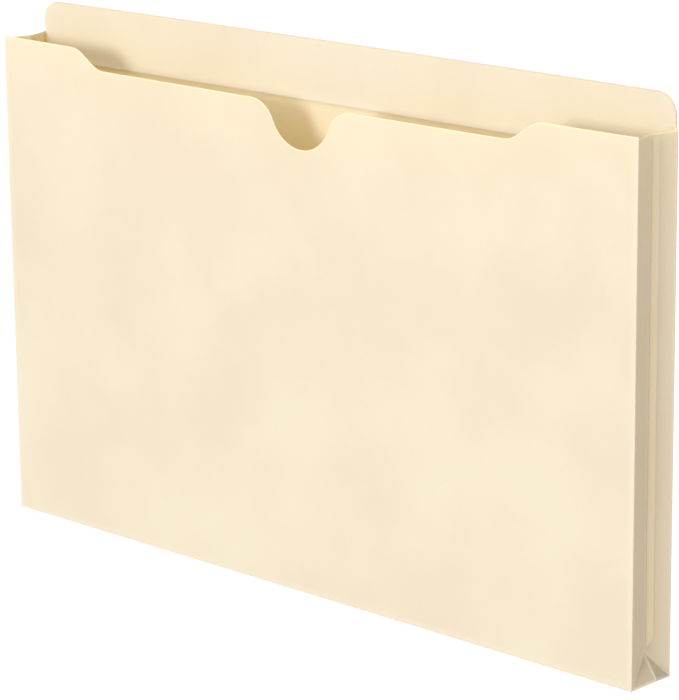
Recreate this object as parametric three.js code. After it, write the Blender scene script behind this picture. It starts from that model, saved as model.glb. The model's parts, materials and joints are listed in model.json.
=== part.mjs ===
// Expanding file jacket, legal size: a manila pocket with folded side and bottom gussets.
// Millimetres, +Z up, +X to the right, the front panel faces -Y.
// The origin is the middle of the rectangle that the jacket stands on.
import * as THREE from "three";

// Sheet and panels
const paper = 0.3; // thickness of the 11 point manila
const jacketWidth = 374.65; // 14 3/4 in
const tabTop = 241.3; // 9 1/2 in from the base to the top of the back panel
const tabCorner = 9.5; // radius of the tab's two corners
const tabInset = 0.8; // each end of the tab stands in from the panel's side by this
const shoulderBelowTab = 13.8; // the front panel's two shoulders stand below the tab's top by this
const shoulderDrop = 8.9; // from the shoulders down to the middle of the front panel's top edge
const shoulderEnd = 47.8; // from the side of the front panel to the start of the S curve
const shoulderRun = 20.2; // length of the S curve
const shoulderEase = 0.36; // share of the S curve's length that its level ends pull on
const gussetBelowShoulder = 0.9; // the side gussets stand below the shoulders by this

// Thumb cut in the front panel's top edge
const cutCentre = 5.6; // right of the panel's middle
const cutRadius = 18; // round bottom
const cutDepth = 19.6; // below the middle of the top edge
const cutMouthRadius = 14; // round shoulders of the cut
const cutWall = 27; // degrees, how far the cut's walls lean from upright

// Gussets, each folded inwards along its centre crease
const gussetHalf = 12.7; // one half of the 1 in expansion
const restFold = 18; // degrees that each half is turned from its fully open place
const creaseGap = 0.15; // each sheet stops short of its crease by this

// Corner webs: the triangle under each side gusset's slanted lower end
const webRidgeTrim = 1.2; // taken off the edge where two webs face each other
const webTipTrim = 1.6; // taken off the sharp tip beside the centre crease
const webFootTrim = 0.6; // taken off the edge beside the base

// Base corners: the triangles past the 45 degree ends of the base, which bend as a corner closes
const cornerGap = 0.45; // clearance to the web's foot and to the side gusset

// Glue lap outside each side gusset's centre crease
const lapWidth = 3.6;
const lapFromCrease = 1.1;
const lapAboveWeb = 1.5;

// Second ply inside the top of the back panel
const plyHeight = 27.3; // from the tab's top edge down to the ply's lower edge
const plyClear = 2.6; // it stands in from the gusset's crease by this, below the tab
const plyStep = 1.2; // above the gusset's top by this, it widens to the tab

const fold = THREE.MathUtils.degToRad(restFold);
const halfWidth = jacketWidth / 2;
const shoulderTop = tabTop - shoulderBelowTab;
const gussetTop = shoulderTop - gussetBelowShoulder;
const innerDepth = 2 * (gussetHalf * Math.cos(fold) + paper * Math.sin(fold));
const halfDepth = innerDepth / 2 + paper;
// A corner closes when its webs turn on their diagonals by this much
const webFold = 2 * Math.atan(Math.SQRT2 * Math.tan(fold));

const manila = 0xf5e6c4;

function sheetMaterial(color, roughness = 0.85) {
  return new THREE.MeshStandardMaterial({ color, roughness, metalness: 0 });
}

// A flat sheet of paper: the shape lies in the local XY plane and is thickened from z0 upwards.
function sheet(name, shape, z0, color = manila) {
  const geometry = new THREE.ExtrudeGeometry(shape, {
    depth: paper,
    bevelEnabled: false,
    curveSegments: 14,
  });
  geometry.translate(0, 0, z0);
  const mesh = new THREE.Mesh(geometry, sheetMaterial(color));
  mesh.name = name;
  return mesh;
}

// Turns a sheet drawn in XY so that its X runs along Y, its Y along Z and its thickness along X.
function standAcross(mesh) {
  const axes = new THREE.Matrix4().makeBasis(
    new THREE.Vector3(0, 1, 0),
    new THREE.Vector3(0, 0, 1),
    new THREE.Vector3(1, 0, 0),
  );
  mesh.quaternion.setFromRotationMatrix(axes);
  return mesh;
}

// Stands a sheet drawn in XY upright: its Y runs along Z, and its thickness from z0 along -Y.
function standAlong(mesh) {
  mesh.rotation.x = Math.PI / 2;
  return mesh;
}

function polygon(points) {
  const shape = new THREE.Shape();
  shape.setFromPoints(points.map(([x, y]) => new THREE.Vector2(x, y)));
  return shape;
}

// A crease: what is added to it turns with it about one of its axes.
function crease(parent, name, position, axis, angle) {
  const group = new THREE.Group();
  group.name = name;
  group.position.set(...position);
  group.rotation[axis] = angle;
  parent.add(group);
  return group;
}

// Back panel with its full width tab
function backPanelShape() {
  const tabHalf = halfWidth - tabInset;
  const shape = new THREE.Shape();
  shape.moveTo(-halfWidth, 0);
  shape.lineTo(halfWidth, 0);
  shape.lineTo(halfWidth, gussetTop);
  shape.lineTo(tabHalf, gussetTop + tabInset);
  tabOutline(shape, tabHalf);
  shape.lineTo(-tabHalf, gussetTop + tabInset);
  shape.lineTo(-halfWidth, gussetTop);
  shape.closePath();
  return shape;
}

// The tab's right end, top edge and left end
function tabOutline(shape, tabHalf) {
  const middle = tabTop - tabCorner;
  shape.lineTo(tabHalf, middle);
  shape.absarc(tabHalf - tabCorner, middle, tabCorner, 0, Math.PI / 2, false);
  shape.lineTo(-tabHalf + tabCorner, tabTop);
  shape.absarc(-tabHalf + tabCorner, middle, tabCorner, Math.PI / 2, Math.PI, false);
}

// The ply is as wide as the tab, and narrower below it, where the gussets fold over it.
function reinforcementShape() {
  const plyBottom = tabTop - plyHeight;
  const lowHalf = halfWidth - paper - plyClear;
  const tabHalf = halfWidth - tabInset;
  const step = gussetTop + plyStep;
  const shape = new THREE.Shape();
  shape.moveTo(-lowHalf, plyBottom);
  shape.lineTo(lowHalf, plyBottom);
  shape.lineTo(lowHalf, step);
  shape.lineTo(tabHalf, step);
  tabOutline(shape, tabHalf);
  shape.lineTo(-tabHalf, step);
  shape.lineTo(-lowHalf, step);
  shape.closePath();
  return shape;
}

// Front panel: shoulders at both ends of the top edge, and the thumb cut near its middle
function frontPanelShape() {
  const low = shoulderTop - shoulderDrop;
  const start = halfWidth - shoulderEnd;
  const end = start - shoulderRun;
  const ease = shoulderEase * shoulderRun;
  const shape = new THREE.Shape();
  shape.moveTo(-halfWidth, 0);
  shape.lineTo(halfWidth, 0);
  shape.lineTo(halfWidth, shoulderTop);
  shape.lineTo(start, shoulderTop);
  shape.bezierCurveTo(start - ease, shoulderTop, end + ease, low, end, low);
  thumbCut(shape, low);
  shape.lineTo(-end, low);
  shape.bezierCurveTo(-end - ease, low, -start + ease, shoulderTop, -start, shoulderTop);
  shape.lineTo(-halfWidth, shoulderTop);
  shape.closePath();
  return shape;
}

// The cut from right to left: a round shoulder, a leaning wall, the round bottom, and the same back up.
// Wall and arcs are tangent, so the two centres are placed from the wall's lean.
function thumbCut(shape, low) {
  const lean = THREE.MathUtils.degToRad(cutWall);
  const bottomCentre = low - cutDepth + cutRadius;
  const mouthCentre = low - cutMouthRadius;
  const wallDrop =
    mouthCentre + cutMouthRadius * Math.sin(lean) - (bottomCentre - cutRadius * Math.sin(lean));
  const mouthOut =
    cutRadius * Math.cos(lean) + wallDrop * Math.tan(lean) + cutMouthRadius * Math.cos(lean);
  shape.lineTo(cutCentre + mouthOut, low);
  shape.absarc(cutCentre + mouthOut, mouthCentre, cutMouthRadius, Math.PI / 2, Math.PI - lean, false);
  shape.absarc(cutCentre, bottomCentre, cutRadius, -lean, Math.PI + lean, true);
  shape.absarc(cutCentre - mouthOut, mouthCentre, cutMouthRadius, lean, Math.PI / 2, false);
}

// One half of the base. Its ends are cut at 45 degrees, so that the side gussets fold over them.
function baseHalfShape(creaseY, panelY) {
  const inward = Math.sign(creaseY - panelY);
  const wide = halfWidth - paper - 2 * creaseGap;
  const narrow = wide - gussetHalf + 2 * creaseGap;
  const nearPanel = panelY + inward * creaseGap;
  const nearCrease = creaseY - inward * creaseGap;
  return polygon([
    [-wide, nearPanel],
    [wide, nearPanel],
    [narrow, nearCrease],
    [-narrow, nearCrease],
  ]);
}

// One half of a side gusset, drawn from its panel to its centre crease. Its lower end rises at 45 degrees.
function sideHalfShape(creaseY, panelY) {
  const inward = Math.sign(creaseY - panelY);
  const nearPanel = panelY + inward * creaseGap;
  const nearCrease = creaseY - inward * creaseGap;
  const slantGap = creaseGap * Math.SQRT2;
  return polygon([
    [nearPanel, paper + creaseGap + slantGap],
    [nearCrease, paper + gussetHalf - creaseGap + slantGap],
    [nearCrease, gussetTop],
    [nearPanel, gussetTop],
  ]);
}

// A corner web, drawn with its fold along X from the base corner to the centre crease.
// Whole, it is the triangle (0, 0), (long, 0), (long / 2, long / 2).
function webShape() {
  const long = gussetHalf * Math.SQRT2;
  const foot = webFootTrim * Math.SQRT2;
  const tip = long - webTipTrim - webRidgeTrim * Math.SQRT2;
  const bottom = (long - webRidgeTrim * Math.SQRT2 - foot) / 2;
  return polygon([
    [foot + creaseGap, creaseGap],
    [tip, creaseGap],
    [tip, webTipTrim],
    [foot + bottom, bottom],
  ]);
}

// Adds a web under a side gusset half. rise is the direction of its fold in the half's own plane,
// and out says whether the outside is along the fold frame's own normal or against it.
function addWeb(parent, name, corner, towardsCrease, out) {
  const along = new THREE.Vector3(0, towardsCrease, 1).normalize();
  const down = new THREE.Vector3(0, towardsCrease, -1).normalize();
  const normal = new THREE.Vector3().crossVectors(along, down);
  const frame = new THREE.Group();
  frame.name = name + "_frame";
  frame.position.set(...corner);
  frame.quaternion.setFromRotationMatrix(new THREE.Matrix4().makeBasis(along, down, normal));
  parent.add(frame);
  const turned = crease(frame, name + "_fold", [0, 0, 0], "x", out * webFold);
  turned.add(sheet(name, webShape(), out > 0 ? -paper : 0));
}

// A flat sheet through three points, its thickness on the side that the points' order turns away from.
function sheetThrough(name, a, b, c) {
  const along = new THREE.Vector3().subVectors(b, a).normalize();
  const normal = new THREE.Vector3().subVectors(c, a).cross(along).negate().normalize();
  const across = new THREE.Vector3().crossVectors(normal, along);
  const flat = [a, b, c].map((point) => {
    const offset = new THREE.Vector3().subVectors(point, a);
    return [offset.dot(along), offset.dot(across)];
  });
  const mesh = sheet(name, polygon(flat), -paper);
  mesh.position.copy(a);
  mesh.quaternion.setFromRotationMatrix(new THREE.Matrix4().makeBasis(along, across, normal));
  return mesh;
}

// The triangle at one end of a base half, in the half's own frame: from the panel's corner along the
// 45 degree cut to the centre crease, and out to the foot of the webs' ridge.
function addBaseCorner(parent, name, side, panelY, creaseY, inner) {
  const inward = Math.sign(creaseY - panelY);
  const alongCut = (s) => {
    const x = halfWidth - paper - creaseGap + cornerGap - s;
    return new THREE.Vector3(side * x, panelY + inward * s, inner);
  };
  const nearPanel = alongCut(3 * cornerGap);
  const nearCrease = alongCut(gussetHalf - creaseGap);
  // The ridge's foot, out from the end of the base and below its centre crease
  const squeeze = 1 + Math.sin(fold) ** 2;
  const out = (gussetHalf * Math.sin(fold) * Math.cos(fold) ** 2) / squeeze;
  const drop = gussetHalf * Math.sin(fold) * (1 - (2 * Math.sin(fold)) / squeeze);
  const foot = new THREE.Vector3(
    side * (halfWidth - paper - cornerGap + out),
    creaseY - inward * (creaseGap + cornerGap + drop * Math.sin(fold)),
    inner - drop * Math.cos(fold),
  );
  const turn = side * inward > 0 ? [nearCrease, foot] : [foot, nearCrease];
  parent.add(sheetThrough(name, nearPanel, ...turn));
}

// A side gusset: rear half, front half, the glue lap and both webs. side is 1 on the right, -1 on the left.
function addSideGusset(parent, side) {
  const label = side > 0 ? "right" : "left";
  const panelPlace = [side * (halfWidth - paper), halfDepth - paper, 0];
  const rear = crease(parent, label + "_rear_crease", panelPlace, "z", -side * fold);
  const rearStart = side > 0 ? 0 : -paper;
  rear.add(standAcross(sheet(label + "_gusset_rear", sideHalfShape(-gussetHalf, 0), rearStart)));

  const lapNear = -gussetHalf + lapFromCrease;
  const lapBottom = paper + gussetHalf + lapAboveWeb;
  const lapShape = polygon([
    [lapNear, lapBottom],
    [lapNear + lapWidth, lapBottom + lapWidth],
    [lapNear + lapWidth, gussetTop - lapAboveWeb],
    [lapNear, gussetTop - lapAboveWeb],
  ]);
  rear.add(standAcross(sheet(label + "_gusset_glue_lap", lapShape, side > 0 ? paper : -2 * paper)));
  addWeb(rear, label + "_rear_corner_web", [side * paper, 0, paper], -1, side);

  const centrePlace = [side * paper, -gussetHalf, 0];
  const front = crease(rear, label + "_centre_crease", centrePlace, "z", side * 2 * fold);
  const frontStart = side > 0 ? -paper : 0;
  front.add(standAcross(sheet(label + "_gusset_front", sideHalfShape(0, -gussetHalf), frontStart)));
  addWeb(front, label + "_front_corner_web", [0, -gussetHalf, paper], 1, -side);
}

// The base: rear half, front half, and the front panel on the end of the chain
function addBaseAndFront(parent) {
  const rear = crease(parent, "base_rear_crease", [0, halfDepth - paper, paper], "x", -fold);
  rear.add(sheet("base_gusset_rear", baseHalfShape(-gussetHalf, 0), -paper));
  const front = crease(rear, "base_centre_crease", [0, -gussetHalf, -paper], "x", 2 * fold);
  front.add(sheet("base_gusset_front", baseHalfShape(0, -gussetHalf), 0));
  for (const side of [1, -1]) {
    const label = side > 0 ? "right" : "left";
    addBaseCorner(rear, label + "_rear_base_corner", side, 0, -gussetHalf, 0);
    addBaseCorner(front, label + "_front_base_corner", side, -gussetHalf, 0, paper);
  }
  const panel = crease(front, "base_front_crease", [0, -gussetHalf, paper], "x", -fold);
  const frontPanel = standAlong(sheet("front_panel", frontPanelShape(), 0));
  frontPanel.position.z = -paper;
  panel.add(frontPanel);
}

// The whole jacket, each piece on the crease that carries it
const jacket = new THREE.Group();
jacket.name = "file_jacket";
const backPanel = standAlong(sheet("back_panel", backPanelShape(), 0));
backPanel.position.y = halfDepth;
const reinforcement = standAlong(sheet("tab_reinforcement", reinforcementShape(), 0));
reinforcement.position.y = halfDepth - paper;
jacket.add(backPanel, reinforcement);
addBaseAndFront(jacket);
addSideGusset(jacket, 1);
addSideGusset(jacket, -1);

export default jacket;
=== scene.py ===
import json
import math

import bmesh
import bpy
import numpy as np
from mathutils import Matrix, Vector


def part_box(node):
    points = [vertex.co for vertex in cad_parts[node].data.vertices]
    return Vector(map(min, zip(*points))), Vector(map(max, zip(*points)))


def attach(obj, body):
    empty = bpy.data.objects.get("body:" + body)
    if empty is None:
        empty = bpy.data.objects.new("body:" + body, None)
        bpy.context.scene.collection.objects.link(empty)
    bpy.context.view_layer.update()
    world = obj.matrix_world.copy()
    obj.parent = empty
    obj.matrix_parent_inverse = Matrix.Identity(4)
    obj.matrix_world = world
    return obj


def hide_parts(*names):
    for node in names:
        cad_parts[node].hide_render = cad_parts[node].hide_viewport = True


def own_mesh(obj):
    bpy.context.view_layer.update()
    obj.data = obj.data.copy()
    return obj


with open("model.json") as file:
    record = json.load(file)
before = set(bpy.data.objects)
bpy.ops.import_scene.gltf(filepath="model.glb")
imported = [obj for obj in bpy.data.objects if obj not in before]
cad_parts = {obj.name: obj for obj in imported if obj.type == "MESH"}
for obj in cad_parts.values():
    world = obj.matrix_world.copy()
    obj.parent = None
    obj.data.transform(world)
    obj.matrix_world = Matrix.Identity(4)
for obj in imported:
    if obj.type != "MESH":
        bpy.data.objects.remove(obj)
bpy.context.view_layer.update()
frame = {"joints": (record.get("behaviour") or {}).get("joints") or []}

# Lengths are millimetres, +Z up, the front panel faces -Y. Meshes are written in metres.
metre = 1000.0
creases = {joint["name"]: np.array(joint["pos_m"]) * metre for joint in frame["joints"]}
panelBox = [np.array(corner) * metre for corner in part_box("front_panel")]
backBox = [np.array(corner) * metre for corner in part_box("back_panel")]
gussetBox = [np.array(corner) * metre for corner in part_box("right_gusset_rear")]
plyBox = [np.array(corner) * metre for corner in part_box("tab_reinforcement")]
lapBox = [np.array(corner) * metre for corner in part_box("right_gusset_glue_lap")]

paper = backBox[1][1] - backBox[0][1]
sideCrease = creases["right_rear_side_crease"]
centreCrease = creases["right_centre_side_crease"]
baseCrease = creases["rear_base_crease"]
baseCentre = creases["centre_base_crease"]
shoulderTop = panelBox[1][2]
tabTop = backBox[1][2]
gussetTop = gussetBox[1][2]

up = np.array([0.0, 0.0, 1.0])
sideways = np.array([1.0, 0.0, 0.0])


# Shader sockets

class Wire:
    # One socket of a shader tree. Arithmetic on it adds Math nodes.

    def __init__(self, tree, socket):
        self.tree = tree
        self.socket = socket

    def node(self, kind, settings, inputs, output=0):
        made = self.tree.nodes.new(kind)
        for key, value in settings.items():
            setattr(made, key, value)
        for key, value in inputs.items():
            if isinstance(value, Wire):
                self.tree.links.new(value.socket, made.inputs[key])
            else:
                made.inputs[key].default_value = value
        return Wire(self.tree, made.outputs[output])

    def maths(self, operation, first, second):
        return self.node("ShaderNodeMath", {"operation": operation}, {0: first, 1: second})

    def __add__(self, other):
        return self.maths("ADD", self, other)

    def __radd__(self, other):
        return self.maths("ADD", other, self)

    def __sub__(self, other):
        return self.maths("SUBTRACT", self, other)

    def __rsub__(self, other):
        return self.maths("SUBTRACT", other, self)

    def __mul__(self, other):
        return self.maths("MULTIPLY", self, other)

    def __rmul__(self, other):
        return self.maths("MULTIPLY", other, self)

    def stretched(self, scale):
        return self.node("ShaderNodeVectorMath", {"operation": "MULTIPLY"}, {0: self, 1: scale})

    def noise(self, scale, detail, roughness=0.5):
        values = {"Vector": self, "Scale": scale, "Detail": detail, "Roughness": roughness}
        return self.node("ShaderNodeTexNoise", {}, values)

    def ramp(self, low, high, start=0.0, end=1.0):
        # Smooth step: start below low, end above high
        settings = {"interpolation_type": "SMOOTHSTEP"}
        values = {"Value": self, "From Min": low, "From Max": high, "To Min": start, "To Max": end}
        return self.node("ShaderNodeMapRange", settings, values)

    def tint(self, below, above):
        # Colour from below to above as this value goes from 0 to 1
        return self.node("ShaderNodeMix", {"data_type": "RGBA"}, {0: self, 6: below, 7: above}, 2)

    def attribute(self, name):
        return self.node("ShaderNodeAttribute", {"attribute_name": name}, {}, 2)


def linear(red, green, blue):
    # A colour written as 0 to 255 display values, as a linear colour with alpha
    def decoded(value):
        share = value / 255
        return share / 12.92 if share < 0.04045 else ((share + 0.055) / 1.055) ** 2.4

    return (decoded(red), decoded(green), decoded(blue), 1.0)


# Manila finishes

# In each finish, crease is a painted highlight along folds and ridges, and cutEdge the colour along cut
# edges: a painted highlight where it is lighter than the face
panelFinish = {
    "face": linear(243, 240, 222),
    "cloud": linear(239, 233, 215),
    "fibre": linear(240, 231, 206),
    "fleck": linear(233, 222, 190),
    "cutEdge": linear(255, 251, 222),
    "crease": linear(248, 243, 228),
    "creaseWidth": (0.5, 3.6),
    "creaseShare": 0.6,
    "roughness": 0.62,
    "through": 0.32,
    "grain": (0.4, 0.4, 1.0),
}

gussetFinish = {
    "face": linear(244, 239, 218),
    "cloud": linear(243, 235, 211),
    "fibre": linear(238, 229, 201),
    "fleck": linear(231, 219, 187),
    "cutEdge": linear(255, 251, 226),
    "crease": linear(251, 247, 228),
    "creaseWidth": (0.3, 1.1),
    "creaseShare": 0.8,
    "roughness": 0.66,
    "through": 0.32,
    "grain": (0.4, 0.4, 1.0),
}

# The small webs in the corners are coloured darker and duller than the gussets: painted shade, so that
# they render as dim as the shaded corners
webPaintedShadeFinish = {
    "face": linear(212, 205, 184),
    "cloud": linear(208, 200, 178),
    "fibre": linear(205, 196, 172),
    "fleck": linear(198, 186, 158),
    "cutEdge": linear(240, 234, 210),
    "crease": linear(243, 238, 218),
    "creaseWidth": (0.3, 1.0),
    "creaseShare": 0.8,
    "roughness": 0.68,
    "through": 0.32,
    "grain": (0.4, 0.4, 1.0),
}

plyFinish = {
    "face": linear(246, 243, 227),
    "cloud": linear(243, 238, 220),
    "fibre": linear(241, 234, 209),
    "fleck": linear(234, 224, 193),
    # painted shadow: the ply's cut edges are darker, for the shade under its lifted lower edge; the line
    # runs along the tab's top and sides too
    "cutEdge": linear(238, 230, 214),
    "crease": linear(246, 241, 222),
    "creaseWidth": (0.5, 2.0),
    "creaseShare": 0.5,
    "roughness": 0.6,
    "through": 0.32,
    "grain": (1.0, 1.0, 0.4),
}

# The glue lap lies on a second sheet and lets little light through
lapFinish = {
    "face": linear(254, 237, 202),
    "cloud": linear(251, 232, 196),
    "fibre": linear(246, 226, 187),
    "fleck": linear(238, 216, 173),
    "cutEdge": linear(250, 232, 196),
    "crease": linear(255, 241, 211),
    "creaseWidth": (0.3, 1.0),
    "creaseShare": 0.5,
    "roughness": 0.64,
    "through": 0.12,
    "grain": (0.4, 0.4, 1.0),
}

# Some of the light on one side of the thin card comes out warmer on the other
lightThrough = linear(255, 228, 105)

# What all the finishes share. A noise has its scale per millimetre, its detail and its roughness.
# A range is of the noise, and for cutEdge it is in millimetres from the cut.
cardTexture = {
    "cloudNoise": (0.018, 3.0),
    "cloudRange": (0.35, 0.7),
    "cloudGloss": 0.08,
    "fibreNoise": (1.6, 4.0, 0.65),
    "fibreRange": (0.45, 0.75),
    "fibreShare": 0.34,
    "fibreGloss": 0.16,
    "fleckNoise": (0.9, 2.0, 0.4),
    "fleckRange": (0.68, 0.76),
    "fleckShare": 0.25,
    "cutEdgeRange": (0.15, 0.75),
    "specular": 0.28,
    "pulpNoise": (0.28, 2.0),
    "pulpShare": 0.3,
    "bumpStrength": 0.32,
    "bumpDistance": 0.00008,
}


def manila(name, finish):
    # Pale card: soft clouds, fine fibres along the grain, a few darker flecks, a painted highlight along
    # creases and along cut edges, and a painted shadow along the ply's edges
    texture = cardTexture
    material = bpy.data.materials.new(name)
    material.use_nodes = True
    tree = material.node_tree
    shader = next(node for node in tree.nodes if node.type == "BSDF_PRINCIPLED")
    start = Wire(tree, None)
    place = start.node("ShaderNodeTexCoord", {}, {}, 3).stretched((metre, metre, metre))
    along = place.stretched(finish["grain"])

    cloud = place.noise(*texture["cloudNoise"]).ramp(*texture["cloudRange"])
    fibre = along.noise(*texture["fibreNoise"])
    fleck = along.noise(*texture["fleckNoise"]).ramp(*texture["fleckRange"])
    tone = cloud.tint(finish["face"], finish["cloud"])
    tone = (fibre.ramp(*texture["fibreRange"]) * texture["fibreShare"]).tint(tone, finish["fibre"])
    tone = (fleck * texture["fleckShare"]).tint(tone, finish["fleck"])

    # painted highlight: a lighter band beside each crease and ridge, where the rounded fold catches light
    crease = start.attribute("creaseEdge")
    near, far = finish["creaseWidth"]
    tone = (crease.ramp(near, far, 1.0, 0.0) * finish["creaseShare"]).tint(tone, finish["crease"])
    # painted highlight along cut edges, where the thin edge catches light; the ply's darker edge colour
    # is a painted shadow
    cut = start.attribute("cutEdge")
    tone = cut.ramp(*texture["cutEdgeRange"], 1.0, 0.0).tint(tone, finish["cutEdge"])
    tree.links.new(tone.socket, shader.inputs["Base Color"])

    gloss = finish["roughness"] + texture["fibreGloss"] * (fibre - 0.5)
    gloss = gloss + texture["cloudGloss"] * (cloud - 0.5)
    tree.links.new(gloss.socket, shader.inputs["Roughness"])
    shader.inputs["Specular IOR Level"].default_value = texture["specular"]
    pulp = place.noise(*texture["pulpNoise"])
    surface = (1 - texture["pulpShare"]) * fibre + texture["pulpShare"] * pulp
    strength, distance = texture["bumpStrength"], texture["bumpDistance"]
    relief = {"Strength": strength, "Distance": distance, "Height": surface}
    bump = start.node("ShaderNodeBump", {}, relief)
    tree.links.new(bump.socket, shader.inputs["Normal"])

    card = Wire(tree, shader.outputs[0])
    through = start.node("ShaderNodeBsdfTranslucent", {}, {"Color": lightThrough})
    both = start.node("ShaderNodeMixShader", {}, {0: finish["through"], 1: card, 2: through})
    output = next(node for node in tree.nodes if node.type == "OUTPUT_MATERIAL")
    tree.links.new(both.socket, output.inputs["Surface"])
    return material


panelMaterial = manila("manilaPanel", panelFinish)
gussetMaterial = manila("manilaGusset", gussetFinish)
# painted shade: the corner webs' finish is darker than the gussets'
webPaintedShadeMaterial = manila("manilaWeb", webPaintedShadeFinish)
plyMaterial = manila("manilaPly", plyFinish)
lapMaterial = manila("manilaLap", lapFinish)
print("manila finishes ready")


# Meshes from grids

farFromEdge = 20.0  # what a point reads that is near no edge


def shell(name, outer, inner, cutEdge, creaseEdge, material, body, nodes):
    # Closed sheet between two grids of rows x columns, with a strip of faces round the rim.
    # cutEdge and creaseEdge give each grid point's distance from the nearest cut and fold.
    rows, columns = outer.shape[:2]
    count = rows * columns
    grid = np.arange(count).reshape(rows, columns)
    corners = [grid[:-1, :-1], grid[:-1, 1:], grid[1:, 1:], grid[1:, :-1]]
    outerFaces = np.stack([corner.ravel() for corner in corners], axis=1)
    innerFaces = outerFaces[:, ::-1] + count
    rim = np.concatenate([grid[0, :-1], grid[:-1, -1], grid[-1, :0:-1], grid[:0:-1, 0]])
    after = np.roll(rim, -1)
    rimFaces = np.stack([after, rim, rim + count, after + count], axis=1)
    points = np.concatenate([outer.reshape(-1, 3), inner.reshape(-1, 3)]) / metre
    faces = np.concatenate([outerFaces, innerFaces, rimFaces])

    mesh = bpy.data.meshes.new(name)
    mesh.from_pydata(points.tolist(), [], faces.tolist())
    for label, values in (("cutEdge", cutEdge), ("creaseEdge", creaseEdge)):
        spread = np.broadcast_to(values, (rows, columns)).ravel()
        layer = mesh.attributes.new(label, "FLOAT", "POINT")
        layer.data.foreach_set("value", np.tile(spread, 2).astype(np.float32))
    cleaned(mesh)
    mesh.materials.append(material)
    piece = bpy.data.objects.new(name, mesh)
    bpy.context.scene.collection.objects.link(piece)
    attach(piece, body)
    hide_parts(*nodes)
    return piece


def cleaned(mesh):
    # Welds the points that meet at folds and poles, turns the faces outwards and keeps cut edges crisp
    weld = 0.000002  # metres
    crispFrom = 38.0  # degrees between two faces
    work = bmesh.new()
    work.from_mesh(mesh)
    bmesh.ops.remove_doubles(work, verts=work.verts, dist=weld)
    bmesh.ops.recalc_face_normals(work, faces=work.faces)
    work.to_mesh(mesh)
    work.free()
    mesh.shade_smooth()
    mesh.set_sharp_from_angle(angle=math.radians(crispFrom))


def nose(beyond):
    # Height left of a sheet that is rounded about its crease: a quarter circle past the crease
    return np.sqrt(np.clip(1 - (np.clip(beyond, 0, paper) / paper) ** 2, 0, 1))


def noseSteps(count=5):
    # Distances past a crease at even angles, from the tip of the quarter circle inwards
    return paper * np.sin(np.linspace(math.pi / 2, 0, count))


def smooth(value):
    # Smooth step: three times the square less twice the cube of the value, held between 0 and 1
    share = np.clip(value, 0, 1)
    return share * share * (3 - 2 * share)


def merged(*groups, least):
    # Sorted places from several groups, none closer to the one before than least
    places = np.unique(np.concatenate(groups))
    keep = np.concatenate([[True], np.diff(places) > least])
    return places[keep]


# Rows of the two big panels: round the base crease, close together above it, then even ones
besideCrease = np.geomspace(0.35, 9, 9)
footRows = np.concatenate([paper - noseSteps(), besideCrease + paper])
evenFrom = 12.0


# Front panel

frontPanel = {
    "shoulderDrop": 8.9,
    "shoulderEnd": 47.8,
    "shoulderRun": 20.2,
    "shoulderEase": 0.36,
    "cutCentre": 5.6,
    "cutRadius": 18.0,
    "cutDepth": 19.6,
    "mouthRadius": 14.0,
    "wallLean": 27.0,
    "bulge": 1.1,
    "bulgeFlat": 0.8,
    "pillow": 0.16,
    "pillowReach": 1.8,
    "lipFlare": 0.7,
    "lipFrom": 180.0,
    "lipHeight": 60.0,
    "edgeThickness": 0.72,
    "edgeRounding": 0.35,
    "columns": 150,
    "levelTo": 190.0,
    "levelRows": 60,
    "upperRows": 22,
    "upperSpread": 1.8,
    "shoulderSteps": 24,
    "mouthSteps": 14,
    "bottomSteps": 34,
}

bulgeRise = 1.3  # a panel's bulge is full at 1 / bulgeRise of its height
halfWidth = panelBox[1][0]
sideAxis = sideCrease[0]


def shoulderLine(offset):
    # Height share of the S curve, 1 at the shoulder and 0 below it: a Bezier with level ends
    share = np.linspace(0, 1, 40)
    left = 1 - share
    ease = frontPanel["shoulderEase"]
    run = 3 * ease * share * left ** 2 + 3 * (1 - ease) * share * share * left + share ** 3
    return np.interp(offset / frontPanel["shoulderRun"], run, 1 - smooth(share))


def arc(centreX, centreZ, radius, start, end, count):
    # Points of an arc: its centre plus the radius times cosine and sine, between two angles in degrees
    angle = np.linspace(math.radians(start), math.radians(end), count)
    return centreX + radius * np.cos(angle), centreZ + radius * np.sin(angle)


def thumbCutLine(low):
    # The cut from left to right: round mouth, leaning wall, round bottom and the same back up
    size = frontPanel
    centre, wall = size["cutCentre"], size["wallLean"]
    mouth, bottom = size["mouthRadius"], size["cutRadius"]
    lean = math.radians(wall)
    bottomZ = low - size["cutDepth"] + bottom
    mouthZ = low - mouth
    drop = mouthZ - bottomZ + (mouth + bottom) * math.sin(lean)
    out = (mouth + bottom) * math.cos(lean) + drop * math.tan(lean)
    leftArc = arc(centre - out, mouthZ, mouth, 90, wall, size["mouthSteps"])
    bottomArc = arc(centre, bottomZ, bottom, 180 + wall, 360 - wall, size["bottomSteps"])
    rightArc = arc(centre + out, mouthZ, mouth, 180 - wall, 90, size["mouthSteps"])
    return np.concatenate([leftArc, bottomArc, rightArc], axis=1)


def frontWarp(x, z):
    # How far the front panel stands out of its flat. The bulge is a power of a parabola across the width
    # times a smooth step up it. The pillow dies away as an exponential towards the sides and the foot.
    # The lip is a parabola across times a smooth step near the top.
    size = frontPanel
    across = np.clip(1 - (x / sideAxis) ** 2, 0, 1)
    side = np.clip(sideAxis - np.abs(x), 0, None)
    foot = np.clip(z - paper, 0, None)
    bulge = size["bulge"] * across ** size["bulgeFlat"] * smooth(z / shoulderTop * bulgeRise)
    reach = size["pillowReach"]
    pillow = size["pillow"] * (1 - np.exp(-side / reach)) * (1 - np.exp(-foot / reach))
    lip = size["lipFlare"] * across * smooth((z - size["lipFrom"]) / size["lipHeight"])
    return bulge + pillow + lip


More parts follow.
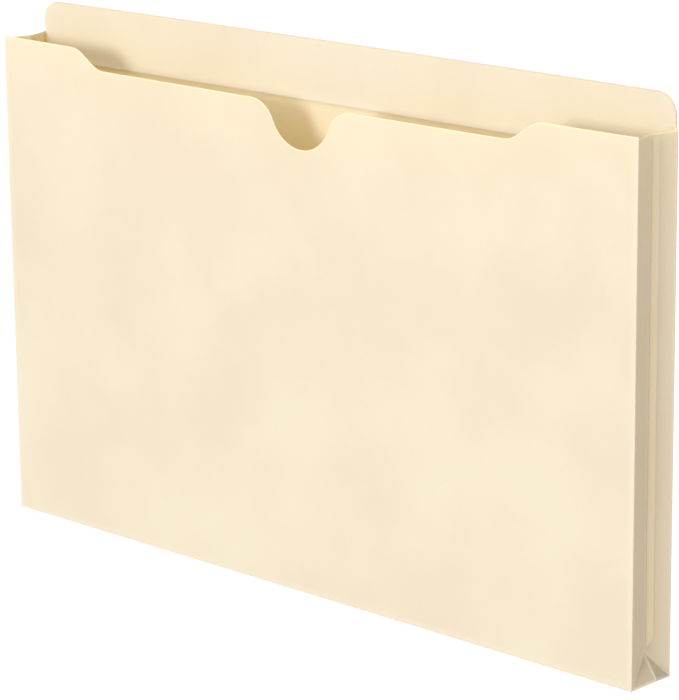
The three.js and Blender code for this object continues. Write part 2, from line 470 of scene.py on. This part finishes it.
def makeFrontPanel():
    # Rows lie level up to a height, then share out what is left up to the top edge. The inner face is
    # the flat plus the warp. The outer one lies a thickness out from it, less past creases and near cuts.
    size = frontPanel
    low = shoulderTop - size["shoulderDrop"]
    shoulderStart = halfWidth - size["shoulderEnd"]
    cutX, cutZ = thumbCutLine(low)
    sCurve = shoulderStart - np.linspace(0, size["shoulderRun"], size["shoulderSteps"])
    noses = sideAxis + noseSteps()
    rolled = sideAxis - besideCrease
    even = np.linspace(-sideAxis, sideAxis, size["columns"])
    inner = merged(even[1:-1], cutX, sCurve, -sCurve, rolled, -rolled, least=0.25)
    x = np.concatenate([-noses, inner, noses[::-1]])
    top = low + size["shoulderDrop"] * shoulderLine(shoulderStart - np.abs(x))
    inCut = (x > cutX[0]) & (x < cutX[-1])
    top = np.where(inCut, np.interp(x, cutX, cutZ), top)

    level = size["levelTo"]
    lowRows = np.linspace(evenFrom, level, size["levelRows"])
    share = 1 - np.linspace(1, 0, size["upperRows"])[1:] ** size["upperSpread"]
    levelRows = np.concatenate([footRows, lowRows])
    z = np.broadcast_to(levelRows[:, None], (len(levelRows), len(x)))
    z = np.concatenate([z, level + (top[None, :] - level) * share[:, None]])
    x = np.broadcast_to(x, z.shape)

    slope = np.gradient(top, x[0])
    cutDistance = np.clip((top[None, :] - z) / np.sqrt(1 + slope ** 2), 0, farFromEdge)
    sideDistance = np.abs(sideAxis - np.abs(x))
    creaseDistance = np.minimum(sideDistance, np.abs(z - paper))
    thickness = paper * nose(np.abs(x) - sideAxis) * nose(paper - z)
    thin = size["edgeThickness"]
    thickness = thickness * (thin + (1 - thin) * smooth(cutDistance / size["edgeRounding"]))
    back = -(baseCrease[1] + frontWarp(x, z))
    innerFace = np.stack([x, back, z], axis=-1)
    outerFace = np.stack([x, back - thickness, z], axis=-1)
    shell("frontPanel", outerFace, innerFace, cutDistance, creaseDistance,
          panelMaterial, "front", ["front_panel"])


makeFrontPanel()
print("front panel made")


# Back panel and its second ply

backPanel = {
    "tabInset": 0.8,
    "tabCorner": 9.5,
    "lean": 1.6,
    "leanFrom": 120.0,
    "leanHeight": 130.0,
    "bulge": 0.5,
    "lowRows": 70,
    "plyStep": 1.2,
    "plyEase": 0.3,
    "plyInset": 2.6,
    "plyLift": 0.45,
    "plyLiftHeight": 3.0,
    "plyPaste": 0.012,
}


def backWarp(x, z):
    # How far the back panel stands out of its flat: two parabolas across, times smooth steps up it, for
    # a shallow bulge and for a tab that leans back
    size = backPanel
    across = np.clip(1 - (x / sideAxis) ** 2, 0, 1)
    bulge = size["bulge"] * across * smooth(z / tabTop * bulgeRise)
    lean = size["lean"] * across * smooth((z - size["leanFrom"]) / size["leanHeight"])
    return bulge + lean


def tabOutline(lowRows, lowHalf, ease, count=12):
    # Heights of the rows of the back panel or the ply, and its half width at each: beside the folds,
    # out to the tab within the height ease, up its sides, and round its corners at even angles
    size = backPanel
    corner, sideHalf = size["tabCorner"], halfWidth - size["tabInset"]
    angle = np.linspace(0, math.pi / 2, count)
    cornerZ = tabTop - corner + corner * np.sin(angle)
    cornerHalf = sideHalf - corner + corner * np.cos(angle)
    step = lowRows[-1]
    sideRows = np.append(step + ease, np.linspace(step + 2, cornerZ[0], 5)[:-1])
    half = [np.full(len(lowRows), lowHalf), np.full(len(sideRows), sideHalf), cornerHalf]
    return np.concatenate([lowRows, sideRows, cornerZ]), np.concatenate(half)


def acrossTab(half, count=121):
    # Places from one side to the other, closer together near both: a sine mixed with even steps
    bunched, even = 0.55, 0.45
    turn = np.linspace(-math.pi / 2, math.pi / 2, count)
    return half * (bunched * np.sin(turn) + even * np.linspace(-1, 1, count))


def makeBackPanel():
    # Below the gussets' top the sides are folds, above it the tab's sides and top are cut. The inner
    # face is the flat plus the warp. The outer one lies a thickness out from it, less past the creases.
    inset = backPanel["tabInset"]
    clear = 1.0  # keeps the tab's edge colour off the folds
    evenRows = np.linspace(evenFrom, gussetTop, backPanel["lowRows"])
    z, half = tabOutline(np.append(footRows, evenRows), sideAxis, inset)
    folded = (z <= gussetTop)[:, None]
    main = np.stack([acrossTab(width) for width in half])
    tip = np.where(folded, noseSteps()[None, :], 0)
    x = np.concatenate([main[:, :1] - tip, main[:, 1:-1], main[:, -1:] + tip[:, ::-1]], axis=1)
    z = np.broadcast_to(z[:, None], x.shape)

    toSide = half[:, None] - np.abs(x)
    cutSide = np.where(folded, gussetTop + inset - z + clear, toSide)
    cutDistance = np.clip(np.minimum(tabTop - z, cutSide), 0, farFromEdge)
    creaseDistance = np.minimum(np.where(folded, np.abs(toSide), farFromEdge), np.abs(z - paper))
    fold = np.where(folded, nose(np.abs(x) - sideAxis), 1.0)
    thickness = paper * fold * nose(paper - z)
    face = baseCrease[1] + backWarp(x, z)
    innerFace = np.stack([x, face, z], axis=-1)
    outerFace = np.stack([x, face + thickness, z], axis=-1)
    shell("backPanel", outerFace, innerFace, cutDistance, creaseDistance,
          panelMaterial, "back", ["back_panel"])


def makeTabPly():
    # The ply follows the tab's outline and the back panel's warp, and lifts a little at its lower edge
    size = backPanel
    bottom = plyBox[0][2]
    step = gussetTop + size["plyStep"]
    lowRows = np.append(bottom + np.array([0, 0.25, 0.7, 1.5, 3, 6]), np.linspace(step - 4, step, 4))
    z, half = tabOutline(lowRows, sideAxis - size["plyInset"], size["plyEase"])
    x = np.stack([acrossTab(width) for width in half])
    z = np.broadcast_to(z[:, None], x.shape)
    plain = np.where(z <= step, farFromEdge, 0)  # no edge colour beside the fold
    toSide = half[:, None] - np.abs(x) + plain
    cutDistance = np.clip(np.minimum(np.minimum(tabTop - z, z - bottom), toSide), 0, farFromEdge)
    lift = size["plyLift"] * smooth(1 - (z - bottom) / size["plyLiftHeight"])
    face = baseCrease[1] + backWarp(x, z) - size["plyPaste"] - lift
    backFace = np.stack([x, face, z], axis=-1)
    frontFace = np.stack([x, face - paper + size["plyPaste"], z], axis=-1)
    shell("tabPly", frontFace, backFace, cutDistance, np.full(z.shape, farFromEdge),
          plyMaterial, "back", ["tab_reinforcement"])


makeBackPanel()
makeTabPly()
print("back panel and ply made")


# Gussets: one quarter of the jacket is worked out at +X and +Y, and mirrored to the other three

gusset = {
    "bow": 0.35,
    "bowFrom": 14.0,
    "bowHeight": 50.0,
    "topRound": 0.34,
    "topCurve": 0.6,
    "topThickness": 0.2,
    "lapLift": 0.02,
    "lapEdgeLift": 0.05,
    "lapEdgeReach": 1.2,
    "lapEdgeThickness": 0.4,
    "lapEdgeRounding": 0.6,
    "webCrown": 0.12,
    "webGap": 0.004,
    "cornerBow": 0.5,
    "cornerKeep": 0.83,
    "cornerTurnUp": 3.6,
    "turnUpTaper": 0.02,
    "turnUpPaste": 0.05,
    "turnUpRoom": 1.15,
}


def halfFrame(panelCrease, middleCrease, outward):
    # Unit vectors along a gusset half and out of it, and the length of its run. It goes from a crease on
    # its inner face to one on its outer face, so the line is turned by the sheet's own thickness.
    line = middleCrease - panelCrease
    length = np.linalg.norm(line)
    line = line / length
    square = outward - outward.dot(line) * line
    square = square / np.linalg.norm(square)
    turn = math.asin(paper / length)
    along = math.cos(turn) * line - math.sin(turn) * square
    normal = math.cos(turn) * square + math.sin(turn) * line
    return along, normal, length * math.cos(turn)


sideStart = np.array([sideCrease[0], sideCrease[1], 0.0])
sideMiddle = np.array([centreCrease[0], 0.0, 0.0])
sideAlong, sideOut, halfRun = halfFrame(sideStart, sideMiddle, sideways)
baseAlong, baseOut, _ = halfFrame(baseCrease, baseCentre, -up)

# The web's fold runs from the base corner, on the gusset's outer face, up to the centre crease
restFold = math.atan2(-sideAlong[0], -sideAlong[1])
webFold = 2 * math.atan(math.sqrt(2) * math.tan(restFold))
webStart = sideStart + paper * sideOut + paper * up
webTop = webStart + halfRun * (sideAlong + up)
webDown = (sideAlong - up) / math.sqrt(2)
webReach = math.cos(webFold) * webDown + math.sin(webFold) * sideOut
webOut = math.cos(webFold) * sideOut - math.sin(webFold) * webDown
webFoot = (webStart + webTop) / 2 + halfRun / math.sqrt(2) * webReach
webRidge = (webTop - webFoot) / np.linalg.norm(webTop - webFoot)


def quarter(points, side, end):
    # Mirrors points of the +X +Y quarter to one side and to the rear (1) or the front (-1)
    return points * np.array([side, end, 1.0])


def sideName(side):
    return "right" if side > 0 else "left"


def endName(end):
    return "Rear" if end > 0 else "Front"


def quarterName(side, end):
    # As the frame names the bodies: right_rear, left_front and so on
    return sideName(side) + "_" + endName(end).lower()


def gussetBow(run, height):
    # A gusset half curves in slightly: a half sine between its creases times a smooth step up it, which
    # leaves it flat beside the corner web
    arch = np.clip(np.sin(math.pi * run / halfRun), 0, 1)
    return -gusset["bow"] * arch * smooth((height - gusset["bowFrom"]) / gusset["bowHeight"])


def acrossHalf(count=22):
    # Places across a gusset half: round its first crease, even between the two, and round the second
    tips = noseSteps()
    return np.concatenate([-tips, np.linspace(0, halfRun, count)[1:-1], halfRun + tips[::-1]])


def makeGussetHalf(side, end):
    # Across: from the panel crease to the centre crease. Up: from the slanted crease over the web to
    # the top, with rows closer together near both. A point is the start, plus its run along the half,
    # plus its height, plus its level in the sheet and the bow along the half's normal.
    run = acrossHalf()
    tall = gussetTop - gusset["bowFrom"]
    edge = tall - np.array([0.8, 0.45, 0.3, 0.2, 0.1, 0])
    rise = np.concatenate([[0.4, 1, 2, 4, 7, 11], np.linspace(16, tall - 3, 55), edge])
    slanted = paper + np.clip(run, 0, halfRun)
    past = noseSteps()
    z = np.concatenate([slanted[None, :] - math.sqrt(2) * past[:, None],
                        slanted[None, :] + (gussetTop - slanted[None, :]) * (rise / rise[-1])[:, None]])
    beyond = np.concatenate([past, np.zeros(len(rise))])[:, None]
    run = np.broadcast_to(run, z.shape)
    thin = gusset["topThickness"]
    below = np.clip((gussetTop - z) / gusset["topRound"], 0, 1)
    rounded = thin + (1 - thin) * below ** gusset["topCurve"]
    outerLevel = paper * nose(-run) * rounded
    innerLevel = paper * (1 - nose(run - halfRun) * nose(beyond))
    bow = gussetBow(run, z)
    flat = sideStart + run[..., None] * sideAlong + z[..., None] * up
    outer = flat + (outerLevel + bow)[..., None] * sideOut
    inner = flat + (np.minimum(innerLevel, outerLevel) + bow)[..., None] * sideOut
    toFold = np.minimum(np.abs(run), np.abs(halfRun - run))
    toSlant = np.abs(z - slanted) / math.sqrt(2)
    cutDistance = np.clip(gussetTop - z, 0, farFromEdge)
    node = sideName(side) + "_gusset_" + endName(end).lower()
    shell(sideName(side) + "Gusset" + endName(end), quarter(outer, side, end),
          quarter(inner, side, end), cutDistance, np.minimum(toFold, toSlant), gussetMaterial,
          quarterName(side, end), [node])


def makeGlueLap(side):
    # A strip pasted on the rear half beside the centre crease, with a slanted lower end. Its inner face
    # is the half's outer one, lifted most along its free edge, and it thins off towards both its edges.
    start = (sideStart[1] - lapBox[1][1]) / -sideAlong[1]
    end = (sideStart[1] - lapBox[0][1]) / -sideAlong[1]
    run = np.linspace(start, end, 9)
    low = lapBox[0][2] + (run[-1] - run)
    share = np.concatenate([[0, 0.0015, 0.004, 0.01], np.linspace(0.03, 0.985, 46), [0.995, 1]])
    z = low[None, :] + (lapBox[1][2] - low[None, :]) * share[:, None]
    run = np.broadcast_to(run, z.shape)
    edge = np.minimum(run - run[0, 0], run[0, -1] - run)
    nearEdge = smooth(1 - (run - run[0, 0]) / gusset["lapEdgeReach"])
    lifted = gusset["lapLift"] + gusset["lapEdgeLift"] * nearEdge
    level = paper + gussetBow(run, z) + lifted
    flat = sideStart + run[..., None] * sideAlong + z[..., None] * up
    inner = flat + level[..., None] * sideOut
    thin = gusset["lapEdgeThickness"]
    thickness = paper * (thin + (1 - thin) * smooth(edge / gusset["lapEdgeRounding"]))
    outer = flat + (level + thickness)[..., None] * sideOut
    ends = np.minimum(lapBox[1][2] - z, z - low[None, :])
    faint = 0.4  # its cut edges show less than a panel's
    shell(sideName(side) + "GlueLap", quarter(outer, side, 1), quarter(inner, side, 1),
          np.minimum(edge, ends) + faint, np.full(z.shape, farFromEdge), lapMaterial,
          sideName(side) + "_rear", [sideName(side) + "_gusset_glue_lap"])


def fan(corner, first, second, radial=16, around=12):
    # Points of a triangle: its corner plus out times a mix, by turn, of its first and second sides.
    # Gives out and turn as well, the shares along a side and from the first side to the second.
    out = np.linspace(0, 1, radial)[:, None, None]
    turn = np.linspace(0, 1, around)[None, :, None]
    line = (1 - turn) * (first - corner) + turn * (second - corner)
    return corner + out * line, out[..., 0], turn[..., 0]


def toSides(out, turn):
    # Distances of a fan's points from its first and second sides: the share times the side's length
    # times the sine of the fan's angle, near enough for their colour
    span = halfRun * math.sqrt(2)
    sine = 0.7
    return out * turn * span * sine, out * (1 - turn) * span * sine


def facing(points):
    # Points beyond the plane where the rear and front corners meet are brought back to it
    held = points.copy()
    held[..., 1] = np.maximum(held[..., 1], gusset["webGap"])
    return held


def makeCornerWeb(side, end):
    # A triangle from the slanted crease to the ridge where the rear and front webs meet, raised a little
    # in its middle by the product of two half sines
    outer, out, turn = fan(webStart, webTop, webFoot)
    crown = gusset["webCrown"] * np.sin(math.pi * out) * np.sin(math.pi * turn)
    outer = outer + crown[..., None] * webOut
    inner = outer - paper * webOut
    toRidge = (1 - out) * halfRun * np.ones_like(turn)
    toFold, toFoot = toSides(out, turn)
    creaseDistance = np.minimum(toRidge, np.minimum(toFold, toFoot))
    name = quarterName(side, end)
    shell(sideName(side) + endName(end) + "CornerWeb", quarter(facing(outer), side, end),
          quarter(facing(inner), side, end), np.full(toRidge.shape, farFromEdge), creaseDistance,
          webPaintedShadeMaterial, name + "_web", [name + "_corner_web"])


def makeBaseHalf(end):
    # Across: from the panel crease to the centre crease. Along: to the 45 degree folds at both ends.
    # A point is the crease, plus its run along the half, its place along X and its level in the sheet.
    run = acrossHalf()
    share = np.linspace(-1, 1, 90)
    reach = sideAxis - np.clip(run, 0, halfRun)
    x = share[None, :] * reach[:, None]
    run = np.broadcast_to(run[:, None], x.shape)
    outerLevel = paper * nose(-run)
    innerLevel = np.minimum(paper * (1 - nose(run - halfRun)), outerLevel)
    flat = baseCrease + run[..., None] * baseAlong + x[..., None] * sideways
    outer = flat + outerLevel[..., None] * baseOut
    inner = flat + innerLevel[..., None] * baseOut
    toFold = np.minimum(np.abs(run), np.abs(halfRun - run))
    toEnd = (reach[:, None] - np.abs(x)) / math.sqrt(2)
    body = "base_" + endName(end).lower()
    shell("baseGusset" + endName(end), quarter(outer, 1, end), quarter(inner, 1, end),
          np.full(x.shape, farFromEdge), np.minimum(toFold, toEnd), gussetMaterial,
          body, ["base_gusset_" + endName(end).lower()])


def sinceTip(out):
    # 0 at the tip of a corner, 1 from a third of the way out
    return np.clip(3 * out, 0, 1)


def behindWeb(corner, foot, out, rise, depth):
    # Points up the web's inner face: the line along its foot, drawn in a little as they rise, plus the
    # rise along the ridge, less the depth along the web's normal. Both grow from the corner outwards.
    line = corner + (out * (1 - gusset["turnUpTaper"] * rise))[..., None] * (foot - corner)
    inside = depth * sinceTip(out)
    return line + (out * rise)[..., None] * webRidge - inside[..., None] * webOut


def makeBaseCorner(side, end):
    # The triangle past the base's 45 degree fold, out to the foot of the web, bowed inwards by a half
    # sine that grows with the square of out. At the foot the card turns up behind the web, and that
    # part is what shows there once the jacket is opened wide.
    corner = sideStart + paper * up
    cutEnd = baseCrease + halfRun * baseAlong + (sideAxis - halfRun) * sideways
    foot = webFoot - paper * webOut
    inner, out, turn = fan(corner, cutEnd, foot)
    normal = np.cross(foot - corner, cutEnd - corner)
    normal = normal / np.linalg.norm(normal)
    normal = normal if normal[2] < 0 else -normal
    bow = gusset["cornerBow"] * np.sin(math.pi * turn) * out ** 2
    inner = inner - bow[..., None] * normal
    outer = inner + paper * normal
    creaseDistance = np.minimum(*toSides(out, turn))

    # The inner face turns up further in than the outer one, and starts a little higher
    inward = (cutEnd - foot) / np.linalg.norm(cutEnd - foot)
    inner[:, -1] += gusset["turnUpRoom"] * paper * sinceTip(out) * inward
    rise = np.array([0.3, 0.6, 1.0]) * gusset["cornerTurnUp"]
    outerRise, innerRise = np.append(0.1, rise), np.append(0.45, rise)
    paste = gusset["turnUpPaste"]
    outerStrip = behindWeb(corner, foot, out, outerRise, paste)
    innerStrip = behindWeb(corner, foot, out, innerRise, paste + paper)
    outer = np.concatenate([outer, outerStrip], axis=1)
    inner = np.concatenate([inner, innerStrip], axis=1)
    creaseDistance = np.concatenate([creaseDistance, out * outerRise], axis=1)
    toFarEdge = (1 - out) * halfRun * math.sqrt(2)
    name = quarterName(side, end) + "_base_corner"
    piece = shell(sideName(side) + endName(end) + "BaseCorner", quarter(facing(outer), side, end),
                  quarter(facing(inner), side, end), np.full(creaseDistance.shape, farFromEdge),
                  np.minimum(creaseDistance, toFarEdge), gussetMaterial,
                  "base_" + endName(end).lower(), [name])
    # Its foot stands out past the panel at rest
    anchor = (side * cutEnd[0] / metre, 0, 0)
    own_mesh(piece)


for end in (1, -1):
    makeBaseHalf(end)
    for side in (1, -1):
        makeGussetHalf(side, end)
        makeCornerWeb(side, end)
        makeBaseCorner(side, end)
for side in (1, -1):
    makeGlueLap(side)
print("gussets, base and corners made")


# Floor, light and camera

# The floor's lengths and the camera's place are in metres here
studio = {
    "world": 0.865,
    "key": 1.54,
    "keyFrom": (0.12, -0.96, 0.17),
    "keyAngle": 16.0,
    "top": 0.5,
    "topFrom": (0.05, -0.62, 0.78),
    "topAngle": 45.0,
    "fill": 0.42,
    "fillFrom": (-0.3, 0.85, 0.5),
    "fillAngle": 60.0,
    "floorSize": 12.0,
    "floorBelow": 0.0004,
    "floorTone": (0.3, 0.3, 0.3, 1),
    "floorWhite": 1.1,
    "floorShown": 0.93,
    "floorClear": 0.5,
}

camera = {
    "place": (0.9749, -0.9953, 0.4735),
    "azimuth": 44.0,
    "pitch": 14.72,
    "roll": -0.6,
    "lens": 170.03,
    "sensor": 36,
    "farthest": 100,
}


def makeFloor():
    # Pale floor, clear from below and half clear to the light, so that the underside is lit too.
    # A camera ray sees mostly plain white, with the shadow kept in the rest.
    size = studio["floorSize"] / 2
    below = -studio["floorBelow"]
    mesh = bpy.data.meshes.new("floor")
    corners = [(-size, -size, below), (size, -size, below), (size, size, below), (-size, size, below)]
    mesh.from_pydata(corners, [], [(0, 1, 2, 3)])
    material = bpy.data.materials.new("paleFloor")
    material.use_nodes = True
    tree = material.node_tree
    tree.nodes.clear()
    start = Wire(tree, None)
    clear = start.node("ShaderNodeBsdfTransparent", {}, {})
    pale = start.node("ShaderNodeBsdfDiffuse", {}, {"Color": studio["floorTone"]})
    pale = start.node("ShaderNodeMixShader", {}, {0: studio["floorClear"], 1: pale, 2: clear})
    shine = {"Color": (1, 1, 1, 1), "Strength": studio["floorWhite"]}
    white = start.node("ShaderNodeEmission", {}, shine)
    seen = start.node("ShaderNodeLightPath", {}, {}, 0)
    mixed = start.node("ShaderNodeMixShader", {}, {0: seen * studio["floorShown"], 1: pale, 2: white})
    under = start.node("ShaderNodeNewGeometry", {}, {}, "Backfacing")
    mixed = start.node("ShaderNodeMixShader", {}, {0: under, 1: mixed, 2: clear})
    output = tree.nodes.new("ShaderNodeOutputMaterial")
    tree.links.new(mixed.socket, output.inputs["Surface"])
    mesh.materials.append(material)
    floor = bpy.data.objects.new("floor", mesh)
    bpy.context.scene.collection.objects.link(floor)


def makeWorld():
    # White to the camera, and a plain soft level for the light
    world = bpy.data.worlds.new("studio")
    world.use_nodes = True
    tree = world.node_tree
    background = next(node for node in tree.nodes if node.type == "BACKGROUND")
    start = Wire(tree, None)
    seen = start.node("ShaderNodeLightPath", {}, {}, 0)
    level = studio["world"] + (1 - studio["world"]) * seen
    tree.links.new(level.socket, background.inputs["Strength"])
    background.inputs["Color"].default_value = (1, 1, 1, 1)
    bpy.context.scene.world = world


def makeSun(name, strength, comesFrom, angle):
    lamp = bpy.data.lights.new(name, "SUN")
    lamp.energy = strength
    lamp.angle = math.radians(angle)
    sun = bpy.data.objects.new(name, lamp)
    bpy.context.scene.collection.objects.link(sun)
    sun.rotation_euler = Vector(comesFrom).to_track_quat("Z", "Y").to_euler()


def makeCamera():
    # Looks along an azimuth turned from +Y, pitched down, then rolled about its own line of sight
    azimuth = math.radians(camera["azimuth"])
    pitch = math.radians(camera["pitch"])
    roll = math.radians(camera["roll"])
    forward = np.array([-math.sin(azimuth) * math.cos(pitch), math.cos(azimuth) * math.cos(pitch),
                        -math.sin(pitch)])
    level = np.array([math.cos(azimuth), math.sin(azimuth), 0.0])
    down = np.cross(forward, level)
    right = math.cos(roll) * level - math.sin(roll) * down
    below = math.sin(roll) * level + math.cos(roll) * down
    matrix = np.eye(4)
    matrix[:3, 0] = right
    matrix[:3, 1] = -below
    matrix[:3, 2] = -forward
    matrix[:3, 3] = camera["place"]
    lens = bpy.data.cameras.new("camera")
    lens.lens = camera["lens"]
    lens.sensor_width = camera["sensor"]
    lens.clip_end = camera["farthest"]
    view = bpy.data.objects.new("camera", lens)
    bpy.context.scene.collection.objects.link(view)
    view.matrix_world = Matrix(matrix.tolist())
    bpy.context.scene.camera = view


makeFloor()
makeWorld()
makeSun("keyLight", studio["key"], studio["keyFrom"], studio["keyAngle"])
makeSun("topLight", studio["top"], studio["topFrom"], studio["topAngle"])
makeSun("fillLight", studio["fill"], studio["fillFrom"], studio["fillAngle"])
makeCamera()
bpy.context.scene.view_settings.view_transform = "Standard"
print("floor, light and camera ready")
